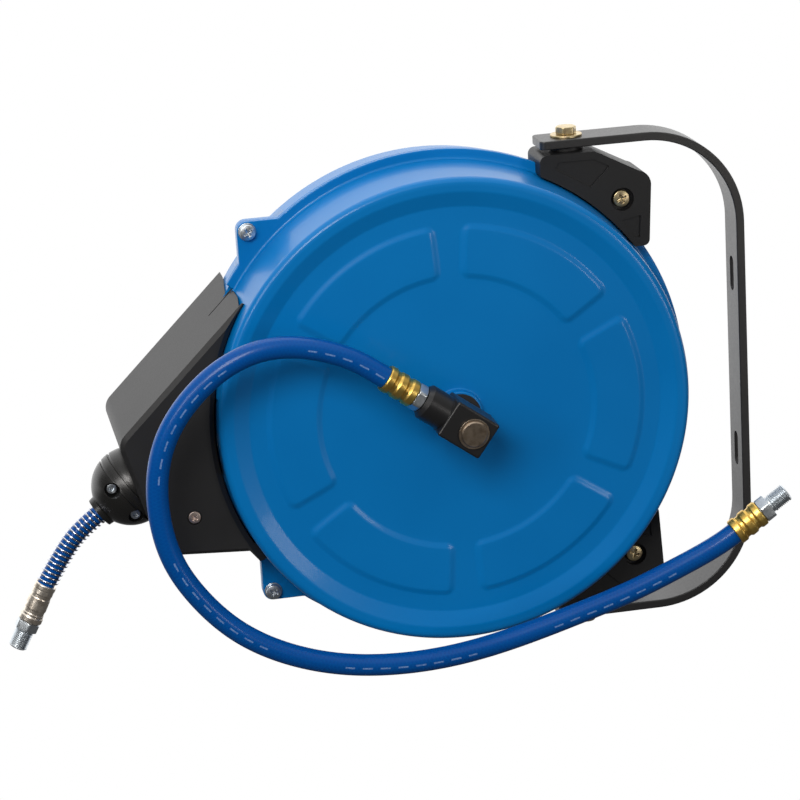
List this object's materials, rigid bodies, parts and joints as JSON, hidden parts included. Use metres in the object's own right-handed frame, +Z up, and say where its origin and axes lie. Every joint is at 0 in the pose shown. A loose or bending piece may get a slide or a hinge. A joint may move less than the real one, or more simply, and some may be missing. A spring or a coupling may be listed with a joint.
{
  "type": "retractable air hose reel",
  "caption": "Wall-mounted spring-retractable air hose reel with a closed blue drum casing, swivel strap, hose guide with ball stop and a supply hose on a swivel.",
  "frame": {"origin": "centre of the wall strap's web, on its wall face", "axes": "+X into the wall, -Y towards the front of the reel, +Z up"},
  "size_m": [0.5457, 0.1554, 0.364],
  "materials": {
    "painted_blue": "gloss",
    "black_metal": "satin",
    "black_plastic": "matte",
    "hose_blue": "gloss",
    "brass": "satin",
    "zinc_yellow": "satin",
    "zinc": "satin",
    "nickel": "satin",
    "spring_steel": "polished",
    "galvanised": "satin",
    "bush_plastic": "matte",
    "seal": "matte"
  },
  "bodies": {
    "bracket": {"wall_bracket": "black_metal"},
    "casing": {"front_cover": "painted_blue", "rear_cover": "painted_blue", "pivot_block_top": "black_plastic", "pivot_block_bottom": "black_plastic", "pivot_bolts": "zinc_yellow", "pivot_nuts": "zinc", "pivot_washers": "zinc_yellow", "pivot_spacers": "black_plastic", "block_screws": "zinc_yellow", "block_nuts": "zinc", "lug_screws": "zinc", "lug_washers": "zinc", "lug_nuts": "zinc", "guide_housing": "black_plastic", "guide_lid": "black_plastic", "guide_screws": "nickel", "roller_pins": "zinc", "front_bush": "black_plastic", "spring_arbor": "zinc", "arbor_bolts": "zinc_yellow", "arbor_nuts": "zinc", "pawl_pin": "zinc", "pawl_spring": "spring_steel"},
    "drum": {"drum_hub": "black_plastic", "drum_flange_front": "galvanised", "drum_flange_rear": "galvanised", "flange_screws": "zinc", "flange_screws_rear": "zinc", "shaft_screws": "zinc", "main_shaft": "zinc", "hub_elbow": "brass", "spring_cassette": "galvanised", "cassette_cover": "galvanised", "rear_bush": "bush_plastic", "power_spring": "spring_steel", "ratchet_ring": "black_metal", "ratchet_screws": "zinc", "wound_hose": "hose_blue", "swivel_o_rings": "seal", "swivel_circlip": "spring_steel"},
    "inlet": {"swivel_body": "black_metal", "inlet_nipple": "zinc", "inlet_ferrule": "brass", "supply_hose": "hose_blue", "supply_ferrule": "brass", "supply_fitting": "zinc"},
    "hose_end": {"outlet_hose": "hose_blue", "ball_stop_front": "seal", "ball_stop_rear": "seal", "ball_bolts": "zinc", "ball_nuts": "zinc", "bend_guard_spring": "spring_steel", "guard_ferrule": "nickel", "outlet_nipple": "zinc"},
    "pawl": {"pawl": "black_metal"},
    "roller_upper": {"guide_roller_upper": "bush_plastic"},
    "roller_lower": {"guide_roller_lower": "bush_plastic"}
  },
  "joints": [
    {"name": "bracket_swing", "type": "hinge", "parent": "bracket", "child": "casing", "pos_m": [-0.1225, 0, 0], "axis": [0, 0, 1], "range_deg": [-90, 18]},
    {"name": "drum_spin", "type": "hinge", "parent": "casing", "child": "drum", "pos_m": [-0.219, 0, 0], "axis": [0, -1, 0], "range_deg": [0, 72]},
    {"name": "hose_pull", "type": "slide", "parent": "casing", "child": "hose_end", "axis": [-0.809, 0, -0.5878], "range_m": [0, 0.1233]},
    {"name": "inlet_swivel", "type": "hinge", "parent": "casing", "child": "inlet", "pos_m": [-0.219, 0, 0], "axis": [0, 1, 0], "continuous": true},
    {"name": "pawl_swing", "type": "hinge", "parent": "casing", "child": "pawl", "pos_m": [-0.153, 0, -0.088], "axis": [0, 1, 0], "range_deg": [-20, 20]},
    {"name": "roller_upper_spin", "type": "hinge", "parent": "casing", "child": "roller_upper", "pos_m": [-0.41588, 0, -0.00633], "axis": [0, 1, 0], "continuous": true},
    {"name": "roller_lower_spin", "type": "hinge", "parent": "casing", "child": "roller_lower", "pos_m": [-0.40071, 0, -0.0272], "axis": [0, -1, 0], "continuous": true}
  ],
  "couplings": [
    {"joint": "hose_pull", "follows": "drum_spin", "m_per_rad": 0.0977},
    {"joint": "roller_upper_spin", "follows": "drum_spin", "ratio": 15.031},
    {"joint": "roller_lower_spin", "follows": "drum_spin", "ratio": 15.031}
  ]
}
